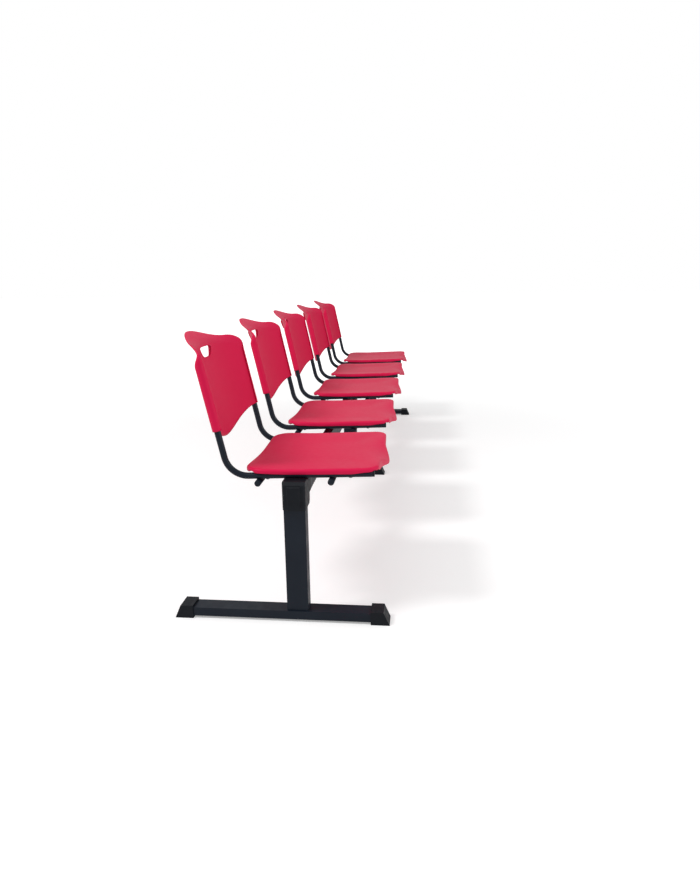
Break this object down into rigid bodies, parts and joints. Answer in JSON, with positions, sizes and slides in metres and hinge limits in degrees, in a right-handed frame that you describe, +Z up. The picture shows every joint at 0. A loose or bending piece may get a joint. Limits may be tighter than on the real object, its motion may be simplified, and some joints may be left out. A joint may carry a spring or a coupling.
{
  "type": "beam seating",
  "caption": "Bench of moulded red seats and backs on bent tube frames, carried by one dark beam on bar-foot legs.",
  "frame": {"origin": "on the floor, under the middle of the bench and midway along the end feet", "axes": "+X along the beam, to the left of someone who sits on the bench; sitters face -Y; +Z up"},
  "size_m": [2.922, 0.613, 0.7921],
  "materials": {
    "red_plastic": "satin",
    "powder_coated_steel": "satin",
    "black_plastic": "matte",
    "zinc_steel": "satin"
  },
  "bodies": {
    "root": {"back_shell_1": "red_plastic", "back_shell_2": "red_plastic", "back_shell_3": "red_plastic", "back_shell_4": "red_plastic", "back_shell_5": "red_plastic", "beam": "powder_coated_steel", "beam_channel_1": "powder_coated_steel", "beam_channel_2": "powder_coated_steel", "beam_channel_3": "powder_coated_steel", "beam_channel_4": "powder_coated_steel", "beam_channel_5": "powder_coated_steel", "beam_end_plugs": "black_plastic", "front_crossbar_1": "powder_coated_steel", "front_crossbar_2": "powder_coated_steel", "front_crossbar_3": "powder_coated_steel", "front_crossbar_4": "powder_coated_steel", "front_crossbar_5": "powder_coated_steel", "left_foot_bar": "powder_coated_steel", "left_front_foot_cap": "black_plastic", "left_leg_cover": "black_plastic", "left_leg_post": "powder_coated_steel", "left_rear_foot_cap": "black_plastic", "left_side_tube_1": "powder_coated_steel", "left_side_tube_2": "powder_coated_steel", "left_side_tube_3": "powder_coated_steel", "left_side_tube_4": "powder_coated_steel", "left_side_tube_5": "powder_coated_steel", "middle_foot_bar": "powder_coated_steel", "middle_front_foot_cap": "black_plastic", "middle_leg_front_cover": "black_plastic", "middle_leg_post": "powder_coated_steel", "middle_leg_rear_cover": "black_plastic", "middle_rear_foot_cap": "black_plastic", "rear_crossbar_1": "powder_coated_steel", "rear_crossbar_2": "powder_coated_steel", "rear_crossbar_3": "powder_coated_steel", "rear_crossbar_4": "powder_coated_steel", "rear_crossbar_5": "powder_coated_steel", "right_foot_bar": "powder_coated_steel", "right_front_foot_cap": "black_plastic", "right_leg_cover": "black_plastic", "right_leg_post": "powder_coated_steel", "right_rear_foot_cap": "black_plastic", "right_side_tube_1": "powder_coated_steel", "right_side_tube_2": "powder_coated_steel", "right_side_tube_3": "powder_coated_steel", "right_side_tube_4": "powder_coated_steel", "right_side_tube_5": "powder_coated_steel", "seat_shell_1": "red_plastic", "seat_shell_2": "red_plastic", "seat_shell_3": "red_plastic", "seat_shell_4": "red_plastic", "seat_shell_5": "red_plastic", "side_tube_plugs": "black_plastic"}
  },
  "joints": []
}
